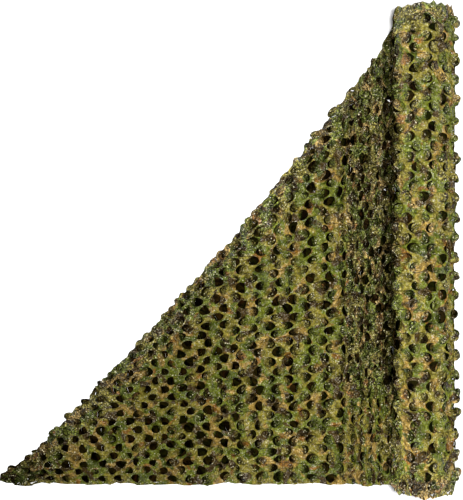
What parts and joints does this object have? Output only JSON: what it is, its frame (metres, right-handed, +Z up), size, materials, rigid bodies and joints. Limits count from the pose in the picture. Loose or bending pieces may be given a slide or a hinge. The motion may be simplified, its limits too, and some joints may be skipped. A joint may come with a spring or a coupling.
{
  "type": "camouflage netting",
  "caption": "Camouflage netting: a wound roll of openwork leaf-cut cloth lying on its side, its loose end laid out flat and turned under along a slant into a triangle.",
  "frame": {"origin": "bottom centre of the box round the roll and its loose end, on the surface that both rest on", "axes": "+Y along the roll, +X from the loose end's far corner towards the roll, +Z up from the surface"},
  "size_m": [1.4608, 1.5, 0.213],
  "materials": {
    "net_cloth": null
  },
  "bodies": {
    "root": {"rolled_net": "net_cloth", "loose_end": "net_cloth"}
  },
  "joints": []
}
